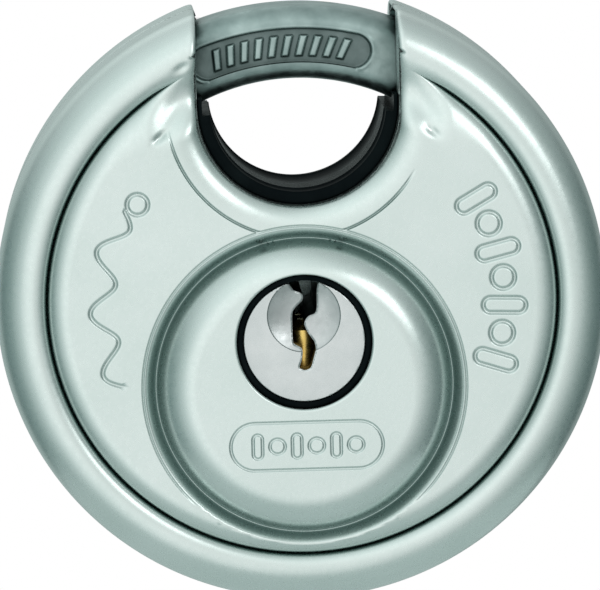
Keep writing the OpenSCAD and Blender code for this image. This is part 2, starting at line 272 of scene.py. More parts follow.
class Cloud:
    """Points of a flat mesh, added in order of importance and kept a distance apart."""

    CELL = 0.5

    def __init__(self):
        self.points, self.edges, self.cells = [], [], {}

    def near(self, x, y, gap):
        """Whether a point is within a gap of another."""
        cx, cy = math.floor(x / self.CELL), math.floor(y / self.CELL)
        reach = math.ceil(gap / self.CELL)
        for i in range(cx - reach, cx + reach + 1):
            for j in range(cy - reach, cy + reach + 1):
                for px, py in self.cells.get((i, j), ()):
                    if (px - x) ** 2 + (py - y) ** 2 < gap * gap:
                        return True
        return False

    def add(self, x, y, gap=0.0):
        """Add a point unless it is too near another, and return its number."""
        if gap and self.near(x, y, gap):
            return None
        key = (math.floor(x / self.CELL), math.floor(y / self.CELL))
        self.cells.setdefault(key, []).append((x, y))
        self.points.append((x, y))
        return len(self.points) - 1

    def ring(self, centre, radius, pitch, gap, start=0.0):
        """Points round a circle, a pitch in degrees apart."""
        for a in np.arange(0, 360, pitch):
            self.add(*(centre + at(radius, a + start)), gap)

    def path(self, points, closed=False):
        """Points joined by edges that the triangles must keep."""
        ids = [self.add(x, y) for x, y in points]
        self.edges += list(zip(ids[:-1], ids[1:]))
        if closed:
            self.edges.append((ids[-1], ids[0]))

    def triangles(self, inside):
        """Triangle mesh of the points whose middles pass the inside test."""
        out = delaunay_2d_cdt([Vector(p) for p in self.points], self.edges, [], 0, 1e-6)
        verts = np.array([(v.x, v.y) for v in out[0]])
        faces = np.array([f for f in out[2] if len(f) == 3])
        middle = verts[faces].mean(axis=1)
        faces = faces[inside(middle[:, 0], middle[:, 1])]
        used = np.unique(faces)
        order = np.full(len(verts), -1)
        order[used] = np.arange(len(used))
        verts, faces = verts[used], order[faces]
        a, b, c = verts[faces[:, 0]], verts[faces[:, 1]], verts[faces[:, 2]]
        area = (b[:, 0] - a[:, 0]) * (c[:, 1] - a[:, 1]) - (b[:, 1] - a[:, 1]) * (c[:, 0] - a[:, 0])
        flip = area < 0
        faces[flip] = faces[flip][:, ::-1]
        return verts, faces


def boundary_loops(faces):
    """Closed loops of vertices round a triangle mesh, in the direction of its edges."""
    edges = {}
    for f in faces.tolist():
        for a, b in ((f[0], f[1]), (f[1], f[2]), (f[2], f[0])):
            if (b, a) in edges:
                del edges[(b, a)]
            else:
                edges[(a, b)] = True
    following = dict(edges.keys())
    loops = []
    while following:
        start, nxt = next(iter(following.items()))
        loop = [start]
        while nxt != start:
            loop.append(nxt)
            nxt = following[nxt]
        for v in loop:
            following.pop(v, None)
        loops.append(loop)
    return loops


def surface_normals(shape, uv):
    """Unit normals of a surface shape(uv) from its slopes."""
    du, dv = np.array([0.004, 0.0]), np.array([0.0, 0.004])
    tu, tv = shape(uv + du) - shape(uv - du), shape(uv + dv) - shape(uv - dv)
    n = np.cross(tu, tv)
    return n / np.maximum(np.linalg.norm(n, axis=1), 1e-12)[:, None]


class Solid:
    """Collects sheets and walls of one mesh, with a normal for every corner."""

    def __init__(self):
        self.points, self.faces, self.normals = [], [], []
        self.count = 0

    def vertices(self, points):
        """Add points and return the number of the first."""
        self.points.append(np.asarray(points, dtype=float))
        start = self.count
        self.count += len(points)
        return start

    def sheet(self, start, faces, normals, flip=False):
        """Add triangles with a normal for each point."""
        for f in faces.tolist():
            f = f[::-1] if flip else f
            self.faces.append([start + v for v in f])
            self.normals += [normals[v] for v in f]

    def wall(self, upper, lower):
        """Band of quads between two rings of vertex numbers, with smooth normals along it."""
        points = np.concatenate(self.points)
        n = len(upper)
        across = points[lower] - points[upper]
        along = points[np.roll(upper, -1)] - points[upper]
        flat = np.cross(along, across)
        size = np.linalg.norm(flat, axis=1)
        flat[size < 1e-9] = 0
        flat /= np.maximum(size, 1e-9)[:, None]
        for i in range(n):
            j = (i + 1) % n
            self.faces.append([upper[i], lower[i], lower[j], upper[j]])
            normal = -flat[i]
            before, after = -flat[i - 1], -flat[j]
            first = normal + before if np.dot(normal, before) > 0.9 else normal
            last = normal + after if np.dot(normal, after) > 0.9 else normal
            for v in (first, first, last, last):
                size_v = np.linalg.norm(v)
                self.normals.append(v / size_v if size_v > 1e-9 else np.array([0.0, 0.0, 1.0]))

    def mirror(self):
        """Turn the solid over to the rear of the case."""
        for points in self.points:
            points[:, 2] *= -1
        self.faces = [f[::-1] for f in self.faces]
        turned, start = [], 0
        for f in self.faces:
            corners = self.normals[start:start + len(f)][::-1]
            turned += [n * np.array([1, 1, -1]) for n in corners]
            start += len(f)
        self.normals = turned

    def build(self, name, material, body):
        return add_object(name, np.concatenate(self.points), self.faces, material, body, self.normals)


# ---- materials

def new_material(name):
    """An empty material, its nodes and links, and its shader."""
    mat = bpy.data.materials.new(name)
    mat.use_nodes = True
    nodes, links = mat.node_tree.nodes, mat.node_tree.links
    shader = nodes["Principled BSDF"]
    return mat, nodes, links, shader


def noise(nodes, links, scale, detail=4.0, stretch=(1, 1, 1)):
    """Noise in the object's own metres, stretched along its axes."""
    coords = nodes.new("ShaderNodeTexCoord")
    mapping = nodes.new("ShaderNodeMapping")
    mapping.inputs["Scale"].default_value = stretch
    tex = nodes.new("ShaderNodeTexNoise")
    tex.inputs["Scale"].default_value = scale
    tex.inputs["Detail"].default_value = detail
    links.new(coords.outputs["Object"], mapping.inputs["Vector"])
    links.new(mapping.outputs["Vector"], tex.inputs["Vector"])
    return tex


def ramp(nodes, links, source, stops):
    """Colour ramp with (position, grey or colour) stops."""
    node = nodes.new("ShaderNodeValToRGB")
    while len(node.color_ramp.elements) < len(stops):
        node.color_ramp.elements.new(0.5)
    for e, (pos, colour) in zip(node.color_ramp.elements, stops):
        e.position = pos
        e.color = (*colour, 1) if isinstance(colour, tuple) else (colour, colour, colour, 1)
    links.new(source, node.inputs["Fac"])
    return node.outputs["Color"]


def combine(nodes, links, kind, first, second):
    """Multiply or add two colours."""
    node = nodes.new("ShaderNodeMixRGB")
    node.blend_type = kind
    node.inputs["Fac"].default_value = 1.0
    links.new(first, node.inputs["Color1"])
    links.new(second, node.inputs["Color2"])
    return node.outputs["Color"]


def bump(nodes, links, shader, height, strength, distance):
    """Fine relief from a height output, as a distance in metres."""
    node = nodes.new("ShaderNodeBump")
    node.inputs["Strength"].default_value = strength
    node.inputs["Distance"].default_value = distance
    links.new(height, node.inputs["Height"])
    links.new(node.outputs["Normal"], shader.inputs["Normal"])


def metal(name, light, dark, rough, grain=2600.0, relief=0.00001, blotch=170.0,
          painted_shade=(0.26, 0.34, 0.33), reach=2.4):
    """Metal with a fine grain, soft cloudy tone and uneven gloss, its base colour darkened in recesses by an
    occlusion node: painted shade.
    """
    mat, nodes, links, shader = new_material(name)
    shader.inputs["Metallic"].default_value = 1.0
    clouds = noise(nodes, links, blotch, 5.0)
    tone = ramp(nodes, links, clouds.outputs["Fac"], [(0.3, dark), (0.7, light)])
    # painted shade: an occlusion node darkens the base colour in creases and recesses, towards the given
    # shade colour
    open_sky = nodes.new("ShaderNodeAmbientOcclusion")
    open_sky.samples = 8
    open_sky.inputs["Distance"].default_value = reach * MM
    painted_shade_factor = ramp(nodes, links, open_sky.outputs["AO"], [(0.25, painted_shade), (0.95, 1.0)])
    links.new(combine(nodes, links, "MULTIPLY", tone, painted_shade_factor), shader.inputs["Base Color"])
    fine = noise(nodes, links, grain, 3.0)
    links.new(ramp(nodes, links, fine.outputs["Fac"], [(0.3, rough[0]), (0.7, rough[1])]),
              shader.inputs["Roughness"])
    bump(nodes, links, shader, fine.outputs["Fac"], 0.35, relief)
    return mat


def black_plastic():
    """Nearly black plastic with faint, uneven scuffs."""
    mat, nodes, links, shader = new_material("black_plastic")
    clouds = noise(nodes, links, 300.0)
    links.new(ramp(nodes, links, clouds.outputs["Fac"], [(0.3, (0.004, 0.006, 0.007)),
                                                         (0.7, (0.008, 0.012, 0.013))]),
              shader.inputs["Base Color"])
    shader.inputs["IOR"].default_value = 1.03
    scuffs = noise(nodes, links, 900.0, 4.0, (1, 6, 1))
    links.new(ramp(nodes, links, scuffs.outputs["Fac"], [(0.35, 0.16), (0.75, 0.36)]),
              shader.inputs["Roughness"])
    bump(nodes, links, shader, scuffs.outputs["Fac"], 0.25, 0.00002)
    return mat


# every metal below gets painted shade in its recesses through metal()'s occlusion node; the colour after the
# cloud scale is that shade
STEEL = metal("case_steel", (0.76, 0.83, 0.81), (0.71, 0.79, 0.765), (0.25, 0.33))
SHACKLE_STEEL = metal("shackle_steel", (0.44, 0.54, 0.525), (0.27, 0.35, 0.34), (0.28, 0.46), 1500.0,
                      0.00005, 420.0, (0.13, 0.18, 0.175), 3.0)
RECESS_STEEL = metal("shackle_recess", (0.20, 0.25, 0.245), (0.13, 0.17, 0.165), (0.36, 0.50), 1500.0,
                     0.00004, 500.0, (0.13, 0.18, 0.175), 1.5)
WELD = metal("weld_steel", (0.50, 0.54, 0.53), (0.36, 0.39, 0.39), (0.30, 0.50), 900.0, 0.00006, 420.0)
HARD_STEEL = metal("hard_steel", (0.33, 0.35, 0.36), (0.22, 0.23, 0.24), (0.32, 0.46))
SCREW_STEEL = metal("screw_steel", (0.66, 0.67, 0.66), (0.54, 0.55, 0.55), (0.22, 0.34))
SPRING_STEEL = metal("spring_steel", (0.60, 0.61, 0.60), (0.48, 0.49, 0.49), (0.20, 0.30))
DIE_CAST = metal("die_cast", (0.52, 0.53, 0.54), (0.40, 0.41, 0.42), (0.42, 0.58), 1200.0, 0.00006)
NICKEL = metal("nickel", (0.72, 0.745, 0.745), (0.66, 0.69, 0.69), (0.22, 0.30), 2200.0, 0.00001, 500.0)
# darker, rougher nickel for the dish: the darker base colour is painted shade, the rougher gloss is its
# finish
DISH_PAINTED_SHADE = metal("nickel_dish_painted_shade", (0.60, 0.625, 0.625), (0.47, 0.495, 0.495), (0.24, 0.36), 2200.0, 0.00002, 700.0)
BLACK_OXIDE = metal("black_oxide", (0.05, 0.055, 0.055), (0.03, 0.034, 0.034), (0.35, 0.5), 1200.0)
# near-black steel on the keyway's walls: painted shade where the slot lies in shadow
KEYWAY_PAINTED_SHADE = metal("keyway_painted_shade", (0.035, 0.04, 0.04), (0.02, 0.024, 0.024), (0.35, 0.5), 2200.0)
BRASS = metal("brass", (0.95, 0.68, 0.22), (0.80, 0.53, 0.14), (0.20, 0.32), 1500.0, 0.00002, 500.0,
              (0.75, 0.6, 0.4), 0.5)
PLASTIC = black_plastic()

NODE_MATERIALS = {
    "core_housing": DIE_CAST, "chamber_cover": DIE_CAST, "anti_drill_plate": BLACK_OXIDE,
    "backing_screws": SCREW_STEEL, "plug_circlip": SPRING_STEEL, "carrier_rivets": SCREW_STEEL,
}
for node_name in ("backing_plate", "pivot_stud", "stop_pins", "drive_peg", "carrier_plate"):
    NODE_MATERIALS[node_name] = HARD_STEEL
for number in range(1, 5):
    NODE_MATERIALS[f"key_pin_{number}"] = BRASS
    NODE_MATERIALS[f"driver_pin_{number}"] = BRASS
    NODE_MATERIALS[f"pin_spring_{number}"] = SPRING_STEEL
for node_name, node_material in NODE_MATERIALS.items():
    for material_slot in frame["nodes"][node_name].material_slots:
        material_slot.material = node_material


# ---- case shells

def lengths_along(points):
    """Length from the start of a line to each of its points."""
    return np.concatenate(([0.0], np.cumsum(np.linalg.norm(np.diff(points, axis=0), axis=1))))


def case_profile():
    """Outer profile from the middle of the face to the seam, as (radius, height) along its length."""
    pts = [(0.0, FACE_H)]
    pts += arc(FACE_R, GROOVE_H, GROOVE_R - FACE_R, FACE_H - GROOVE_H, 90, 0, 40)
    pts += arc(CREST_R, GROOVE_H, GROOVE_R - CREST_R, CREST_H - GROOVE_H, 0, 90, 30)
    pts += arc(CREST_R, LAND_H, CASE_R - CREST_R, CREST_H - LAND_H, 90, 0, 90)
    pts += [(CASE_R, SEAM), (CASE_R - SEAM, 0.0)]
    pts = np.array(pts)
    keep = np.concatenate(([True], np.linalg.norm(np.diff(pts, axis=0), axis=1) > 1e-6))
    pts = pts[keep]
    return lengths_along(pts), pts[:, 0], pts[:, 1]


RUN, RUN_R, RUN_H = case_profile()
RUN_END = RUN[-1]
RUN_SEAM = RUN[-2]
WIDEST = int(np.argmax(RUN_R > CASE_R - 1e-6))


def run_at(radius):
    """Length along the profile at a radius, up to the widest place."""
    return float(np.interp(radius, RUN_R[:WIDEST + 1], RUN[:WIDEST + 1]))


RUN_GROOVE = run_at(GROOVE_R)
RUN_CREST = run_at(CREST_R)
RUN_CORNER = run_at(CASE_R)


def window_distance(x, y):
    """Distance outside the window's U outline in the front view."""
    return np.where(y <= WINDOW_Y, np.hypot(x, y - WINDOW_Y), np.abs(x)) - WINDOW_R


def dent(x, half):
    """Rounded notch, 1 deep at x = 0 and gone at x = half."""
    return np.clip(1 - (x / half) ** 2, 0, 1) ** 2


def boss_height(d):
    """Height of the boss and its valley at a distance from the boss's centre."""
    slope = math.radians(BOSS_SLOPE)
    top = BOSS_H - BOSS_EDGE_R
    out = d - BOSS_FLAT_R
    edge = top + np.sqrt(np.clip(BOSS_EDGE_R ** 2 - np.clip(out, 0, BOSS_EDGE_R) ** 2, 0, None))
    end = BOSS_EDGE_R * math.sin(slope)
    side = top + BOSS_EDGE_R * math.cos(slope) - (out - end) * math.tan(slope)
    boss = np.where(out < end, edge, side)
    bank = MOAT_H + (FACE_H - MOAT_H) * smooth_step(d, BOSS_R - 0.1, BANK_R - 0.1)
    height = 0.5 * (boss + bank + np.sqrt((boss - bank) ** 2 + BOSS_BLEND ** 2))
    return np.where(d < BANK_R + 0.1, height, FACE_H)


def segment_distance(x, y, lines):
    """Shortest distance from points to the segments of several polylines."""
    best = np.full(x.shape, 99.0)
    for line in lines:
        line = np.asarray(line)
        for (ax, ay), (bx, by) in zip(line[:-1], line[1:]):
            dx, dy = bx - ax, by - ay
            t = np.clip(((x - ax) * dx + (y - ay) * dy) / (dx * dx + dy * dy + 1e-12), 0, 1)
            best = np.minimum(best, np.hypot(x - ax - t * dx, y - ay - t * dy))
    return best


def stadium(cx, cy, half_w, half_h, steps=16):
    """Closed outline of a bar with round ends."""
    r = half_h
    right = [(cx + half_w - r + r * math.cos(t), cy + r * math.sin(t))
             for t in np.linspace(-math.pi / 2, math.pi / 2, steps)]
    left = [(2 * cx - x, 2 * cy - y) for x, y in right]
    return right + left + right[:1]


def ring_and_pills(centres, pill, ring_r):
    """Outlines that take turns: upright pill, ring, pill and so on. Each centre is (x, y, turn)."""
    lines = []
    for i, (cx, cy, turn) in enumerate(centres):
        shape = stadium(0, 0, ring_r, ring_r) if i % 2 else stadium(0, 0, *pill)
        s, c = math.sin(math.radians(turn)), math.cos(math.radians(turn))
        lines.append([(cx + x * c - y * s, cy + x * s + y * c) for x, y in shape])
    return lines


def boss_badge():
    """Engraved stadium with a row of pills and rings in it."""
    cy = BOSS_Y - 4.65
    row = [(x, cy, 90) for x in (-4.0, -2.4, -0.8, 0.8, 2.4, 4.0)]
    return [stadium(0.0, cy, 6.2, 1.95, 24)] + ring_and_pills(row, (1.0, 0.38), 0.62)


def wave_mark():
    """Engraved wavy line along the face's left side, with a ring at its upper end."""
    angles = np.linspace(-113, -61, 200)
    wave = [tuple(at(16.3 + 1.0 * math.sin(math.radians((a + 113) * 360 / 17.3)), a)) for a in angles]
    return [wave, stadium(*at(15.7, -57.5), 0.85, 0.85)]


def side_mark():
    """Row of engraved pills and rings along the face's right side."""
    row = [(*at(16.4, a), 90 - a) for a in range(60, 110, 8)]
    return ring_and_pills(row, (1.75, 0.62), 0.95)


# engraved lines, as (outlines, half width, depth)
MARKS = [(boss_badge(), 0.13, 0.10), (wave_mark(), 0.20, 0.15), (side_mark(), 0.20, 0.15)]
# small dents by the window, as (x, y, depth, turn)
PRESS_MARKS = ((-11.3, 13.8, 0.22, 50), (10.8, 13.8, 0.16, -50), (-9.4, 19.4, 0.14, 60))


def mark_depth(x, y):
    """Depth of the engraved lines and the small dents."""
    depth = np.zeros(x.shape)
    for lines, half_w, deep in MARKS:
        flat = np.concatenate([np.asarray(line) for line in lines])
        low, high = flat.min(axis=0) - 1, flat.max(axis=0) + 1
        near = (x > low[0]) & (x < high[0]) & (y > low[1]) & (y < high[1])
        if near.any():
            depth[near] += deep * dent(segment_distance(x[near], y[near], lines), half_w + 0.05)
    for cx, cy, deep, turn in PRESS_MARKS:
        (ax, ay), dx, dy = at(1, turn), x - cx, y - cy
        depth += deep * np.exp(-((dx * ax + dy * ay) / 0.65) ** 2 - ((dx * ay - dy * ax) / 0.32) ** 2)
    return depth


def profile_at(uv):
    """Length, radius, height, direction and outward normal of the plain case at surface points."""
    s = np.hypot(uv[:, 0], uv[:, 1])
    unit = uv / np.maximum(s, TINY)[:, None]
    r, h = np.interp(s, RUN, RUN_R), np.interp(s, RUN, RUN_H)
    slope_r = np.interp(s + RUN_STEP, RUN, RUN_R) - np.interp(s - RUN_STEP, RUN, RUN_R)
    slope_h = np.interp(s + RUN_STEP, RUN, RUN_H) - np.interp(s - RUN_STEP, RUN, RUN_H)
    size = np.maximum(np.hypot(slope_r, slope_h), TINY)
    normal = np.column_stack((-slope_h / size * unit[:, 0], -slope_h / size * unit[:, 1], slope_r / size))
    return s, r, h, unit, normal


def rim_height(s, r, h, gap):
    """Heights with the shoulder starting further in and the groove running out by the window."""
    start = FACE_R - SHOULDER_SHIFT * (1 - smooth_step(gap, *SHOULDER_REACH))
    along = np.clip((r - start) / (GROOVE_R - start), 0, 1)
    shoulder = GROOVE_H + (FACE_H - GROOVE_H) * np.sqrt(1 - along ** 2)
    h = np.where(s < RUN_GROOVE, shoulder, h)
    across = np.clip((r - start + SADDLE_LEAD) / (CREST_R - start + SADDLE_LEAD), 0, 1)
    hollow = SADDLE_DEPTH * np.sin(math.pi * across) ** 2
    saddle = FACE_H - (FACE_H - CREST_H) * smooth_step(across, 0, 1) - hollow
    h = h - GROOVE_CREASE * dent(s - RUN_GROOVE, GROOVE_CREASE_W)
    fade = (1 - smooth_step(gap, *SADDLE_REACH)) * (s < RUN_CREST)
    return h + fade * (saddle - h)


def face_height(x, y, r, h):
    """Heights with the boss, the crease round its valley, the plug's hole and the marks."""
    boss_d = np.hypot(x, y - BOSS_Y)
    h = h + boss_height(boss_d) - FACE_H
    h = h - BANK_CREASE * dent(boss_d - BANK_R, BANK_CREASE_W) * (1 - smooth_step(r, FACE_R - 0.8, FACE_R))
    hole_d = np.hypot(x, y - PLUG_Y) - HOLE_R
    edge = np.clip(1 - hole_d / HOLE_EDGE, 0, 1)
    h = h - HOLE_EDGE * (1 - np.sqrt(1 - edge ** 2))
    return h - mark_depth(x, y)


def lip_depth(x, y, s, r, gap, off_boss):
    """How far the window's edge rolls inwards, widest on the flat face, where a crease bounds it."""
    on_face = 1 - smooth_step(r, *LIP_FADE_R) * (s < RUN_CREST) - 1.0 * (s >= RUN_CREST)
    width = RIM_LIP_W + (LIP_W - RIM_LIP_W) * on_face
    drop = RIM_LIP_DROP + (LIP_DROP - RIM_LIP_DROP) * on_face
    t = np.clip(1 - gap / width, 0, 1)
    lip = drop * (1 - (1 - t ** 2.5) ** 0.4)
    foot_angle = np.degrees(np.arctan2(x, WINDOW_Y - y))
    shown = 1 - smooth_step(foot_angle, *LIP_CREASE_FADE_RIGHT)
    shown = shown * (1 - smooth_step(-foot_angle, *LIP_CREASE_FADE_LEFT)) * off_boss
    return lip + LIP_CREASE * shown * dent(gap - LIP_W, LIP_CREASE_W)


def shell_shape(uv, front, detail=True):
    """Points of a shell's outer surface. uv is the front view with radii measured along the profile."""
    s, r, h, unit, normal = profile_at(uv)
    x, y = r * unit[:, 0], r * unit[:, 1]
    gap = np.maximum(window_distance(x, y), 0.0)
    h = rim_height(s, r, h, gap)
    off_boss = 1.0
    if front and detail:
        h = face_height(x, y, r, h)
        off_boss = smooth_step(np.hypot(x, y - BOSS_Y), BANK_R, BANK_R + 0.15)
    lip = lip_depth(x, y, s, r, gap, off_boss)
    # the lip sinks straight down inside the crest, and along the surface's normal outside it
    pull = np.column_stack((np.zeros(len(s)), normal[:, 1], normal[:, 2]))
    pull[s < RUN_CREST] = (0.0, 0.0, 1.0)
    return np.column_stack((x, y, h)) - pull * lip[:, None]


def to_run(x, y):
    """Front-view point to the surface's own coordinates."""
    r = math.hypot(x, y)
    s = run_at(r) if r < CASE_R - 1e-6 else RUN_SEAM
    k = s / r if r > TINY else 1.0
    return x * k, y * k


def window_foot(d, angle):
    """Surface coordinates at a distance outside the window's round foot."""
    x = (WINDOW_R + d) * math.sin(math.radians(angle))
    y = WINDOW_Y - (WINDOW_R + d) * math.cos(math.radians(angle))
    return to_run(x, y)


def window_side(d, side):
    """Surface coordinates up one straight side of the window, from its foot to the seam."""
    out = []
    x = WINDOW_R + d
    start = run_at(math.hypot(x, WINDOW_Y))
    to_crest, to_seam = np.linspace(start, RUN_CREST, 22)[1:], np.linspace(RUN_CREST, RUN_END, 40)[1:]
    for s in np.concatenate((to_crest, to_seam)):
        r = float(np.interp(s, RUN, RUN_R))
        a = math.asin(min(x / r, 1.0))
        out.append((side * s * math.sin(a), s * math.cos(a)))
    return out


def window_line(d, steps=96):
    """The whole U at a distance outside the window, from the right seam round to the left one."""
    foot = [window_foot(d, a) for a in np.linspace(90, -90, steps + 1)]
    return window_side(d, 1)[::-1] + foot + window_side(d, -1)


def add_ribbon(cloud, line, half_w, pitch=0.13):
    """Rows of points along an engraved line, so that its sides stay even."""
    line = np.asarray(line)
    length = lengths_along(line)
    count = max(8, int(length[-1] / pitch))
    where = np.linspace(0, length[-1], count)
    path = np.column_stack((np.interp(where, length, line[:, 0]), np.interp(where, length, line[:, 1])))
    slope = np.gradient(path, axis=0)
    side = np.column_stack((-slope[:, 1], slope[:, 0])) / np.linalg.norm(slope, axis=1)[:, None]
    for off in np.linspace(-half_w, half_w, 9):
        for x, y in path + off * side:
            cloud.add(*to_run(x, y), 0.03)


def add_press_marks(cloud):
    """Rings of points round the small dents."""
    for cx, cy, *_ in PRESS_MARKS:
        for d in np.arange(0.0, 1.4, 0.12):
            for a in np.arange(0, 360, 20):
                x, y = np.array([cx, cy]) + at(d, a)
                cloud.add(*to_run(x, y), 0.09)


def add_boss_rings(cloud):
    """Rings of points on the boss's side and in the valley round it."""
    valley = [(d, 0.6) for d in np.arange(11.8, 12.5, 0.07)]
    rest = [(d, 1.5) for d in (*np.arange(8.8, 11.75, 0.15), *np.arange(12.55, 13.0, 0.12), 13.45)]
    for d, pitch in valley + rest:
        for a in np.arange(0, 360, pitch):
            cloud.add(*to_run(*((0, BOSS_Y) + at(d, a))), 0.04)


def add_outline(cloud):
    """The window's U and the seam's ring, joined by edges."""
    u_line = window_line(0.0)
    cloud.path(u_line)
    start = math.degrees(math.atan2(*u_line[0]))
    ids = [cloud.add(*at(RUN_END, a)) for a in np.linspace(start, 360 - start, 361)[1:-1]]
    chain = [0] + ids + [len(u_line) - 1]
    cloud.edges += list(zip(chain[:-1], chain[1:]))


def add_hole_rings(cloud):
    """The plug's hole, and rings of points on its rounded edge."""
    centre = np.array([0, PLUG_Y])
    cloud.path([tuple(centre + at(HOLE_R, a)) for a in np.arange(0, 360, 2.5)], True)
    for d in (0.06, 0.14, 0.24, HOLE_EDGE, 0.55, 0.9):
        cloud.ring(centre, HOLE_R + d, 2.5, 0.05)


def add_face_lines(cloud):
    """Rows of points along the engraved lines and the crease round the boss's valley."""
    for lines, half_w, _ in MARKS:
        for line in lines:
            add_ribbon(cloud, line, half_w + 0.12)
    bank_line = [(0, BOSS_Y) + at(BANK_R, a) for a in np.linspace(-137, 137, 200)]
    add_ribbon(cloud, bank_line, 0.16, 0.16)


def add_creases(cloud, front):
    """Rows of points along the crease of the window's lip and in the groove."""
    for end in (-80, 60):
        angles = np.linspace(math.copysign(19.5 if front else 0.0, end), end, 60)
        add_ribbon(cloud, [(0, WINDOW_Y) - at(WINDOW_R + LIP_W, -a) for a in angles], 0.18, 0.14)
    for offset in (-0.5, -0.3, -0.16, -0.06, 0.06, 0.16, 0.3, 0.5):
        cloud.ring((0, 0), RUN_GROOVE + offset, 0.75, 0.03)


def add_window_rows(cloud):
    """Rows of points along the window's edge, closest together next to it."""
    for d in (0.03, 0.09, 0.18, 0.30, 0.45, 0.62, 0.85, 1.1, 1.4, 1.75, 2.1, 2.3, 2.85, 3.1, 3.6):
        gap = 0.45 * min(d + 0.05, 0.3) if d < 0.5 else 0.10
        for x, y in window_line(d, 80):
            if math.hypot(x, y) < RUN_END - 0.05:
                cloud.add(x, y, gap)


def add_case_rings(cloud):
    """Rings of points on the shoulder, bead and outer corner."""
    rings = list(np.linspace(FACE_R - 0.5, RUN_GROOVE - 0.65, 11))
    rings += [RUN_GROOVE + d for d in (0.7, 0.95, 1.2, 1.45)]
    rings += list(np.linspace(RUN_CREST, RUN_CORNER, 18)) + list(np.linspace(RUN_CORNER, RUN_SEAM, 7)[1:])
    rings.append(RUN_SEAM + 0.05)
    for s in rings:
        cloud.ring((0, 0), s, 1.0, 0.07, 0.5 * (int(s * 10) % 2))


def add_grid(cloud):
    """Even, staggered rows of points wherever there is still room."""
    for row, y in enumerate(np.arange(-RUN_END, RUN_END, GRID_PITCH * 0.866), 1):
        for x in np.arange(-RUN_END + (row % 2) * GRID_PITCH / 2, RUN_END, GRID_PITCH):
            if math.hypot(x, y) < RUN_SEAM - 0.2:
                cloud.add(x, y, GRID_PITCH * 0.62)


def shell_cloud(front):
    """All points of a shell's surface, with the lines that matter most first."""
    cloud = Cloud()
    add_outline(cloud)
    if front:
        add_hole_rings(cloud)
        add_face_lines(cloud)
        add_boss_rings(cloud)
    add_creases(cloud, front)
    add_window_rows(cloud)
    add_case_rings(cloud)
    if front:
        add_press_marks(cloud)
    add_grid(cloud)
    return cloud


def keep_inside(points):
    """Bring points of the inner surface back inside the case's side wall."""
    r = np.hypot(points[:, 0], points[:, 1])
    points[:, :2] *= np.minimum(1, (CASE_R - SHEET) / np.maximum(r, TINY))[:, None]
    return points


def shell_test(front):
    """Test for surface points that belong to a shell: not in the window, nor in the plug's hole."""

    def inside(u, v):
        s = np.hypot(u, v)
        r = np.interp(s, RUN, RUN_R)
        x, y = r * u / np.maximum(s, TINY), r * v / np.maximum(s, TINY)
        ok = (s < RUN_END) & (window_distance(x, y) > 0)
        return ok & (np.hypot(x, y - PLUG_Y) > HOLE_R * 0.999) if front else ok

    return inside


def towards_window(points):
    """Flat unit directions from points to the window's middle line."""
    to_foot = np.column_stack((-points[:, 0], WINDOW_Y - points[:, 1]))
    to_middle = np.column_stack((-np.sign(points[:, 0]), np.zeros(len(points))))
    out = np.where((points[:, 1] <= WINDOW_Y)[:, None], to_foot, to_middle)
    out /= np.maximum(np.linalg.norm(out, axis=1), TINY)[:, None]
    return np.column_stack((out, np.zeros(len(points))))


def inner_surface(uv, outer, normals, at_seam):
    """Points one sheet thickness under the outer surface."""
    inner = keep_inside(outer - normals * SHEET)
    radial = uv / np.maximum(np.hypot(uv[:, 0], uv[:, 1]), TINY)[:, None]
    inner[at_seam] = np.column_stack((radial * (CASE_R - SHEET - 0.1), np.zeros(len(uv))))[at_seam]
    return inner


def edge_walls(solid, upper, under, foot, heel):
    """Walls from the outer surface to the foot, across to the heel and back to the inner surface."""
    order = np.arange(len(upper))
    a = solid.vertices(foot) + order
    b = solid.vertices(heel) + order
    solid.wall(upper, a)
    solid.wall(a, b)
    solid.wall(b, under)


def shell(name, front, wall_end, node):
    """A pressed shell: outer surface, inner surface, and walls round the window, seam and hole."""
    uv, faces = shell_cloud(front).triangles(shell_test(front))
    outer = shell_shape(uv, front)
    plain = shell_shape(uv, front, False)
    plain_normals = surface_normals(lambda p: shell_shape(p, front, False), uv)
    normals = surface_normals(lambda p: shell_shape(p, front), uv)
    at_seam = np.hypot(uv[:, 0], uv[:, 1]) > RUN_END - 0.02
    # the window's edge and the seam's edge turn inwards squarely
    on_window = (window_distance(plain[:, 0], plain[:, 1]) < 0.02) & ~at_seam
    to_window = towards_window(outer)
    plain_normals[on_window] = to_window[on_window]
    inner = inner_surface(uv, outer, plain_normals, at_seam)
    solid = Solid()
    top = solid.vertices(outer)
    under = solid.vertices(inner)
    solid.sheet(top, faces, normals)
    solid.sheet(under, faces, -plain_normals, flip=True)
    for loop in boundary_loops(faces):
        upper = np.array(loop)
        ring = outer[upper]
        if front and np.hypot(ring[:, 0], ring[:, 1] - PLUG_Y).max() < HOLE_R + 0.1:
            solid.wall(top + upper, under + upper)
            continue
        foot = ring.copy()
        edge = on_window[upper]
        foot[edge, 2] = np.minimum(wall_end, ring[edge, 2] - 0.02)
        heel = keep_inside(foot - to_window[upper] * SHEET)
        heel[~edge] = inner[upper][~edge]
        edge_walls(solid, top + upper, under + upper, foot, heel)
    if not front:
        solid.mirror()
    obj = solid.build(name, STEEL, "body")
    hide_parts(node)


shell("front_case_shell", True, WALL_FRONT, "front_shell")
shell("rear_case_shell", False, WALL_REAR, "rear_shell")


def weld():
    """Ground weld bead in the groove between the shells."""
    half = math.degrees(math.asin(WINDOW_R / CASE_R)) + 0.1
    section = arc(CASE_R - 0.62, 0.0, 0.60, 0.34, -62, 62, 8) + [(CASE_R - 0.7, 0.12), (CASE_R - 0.7, -0.12)]
    obj = sweep("weld_bead", section, np.linspace(half, 360 - half, 300), (0, 0), WELD, "body")
    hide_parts("weld_seam")


weld()


# ---- liner, shackle, cylinder

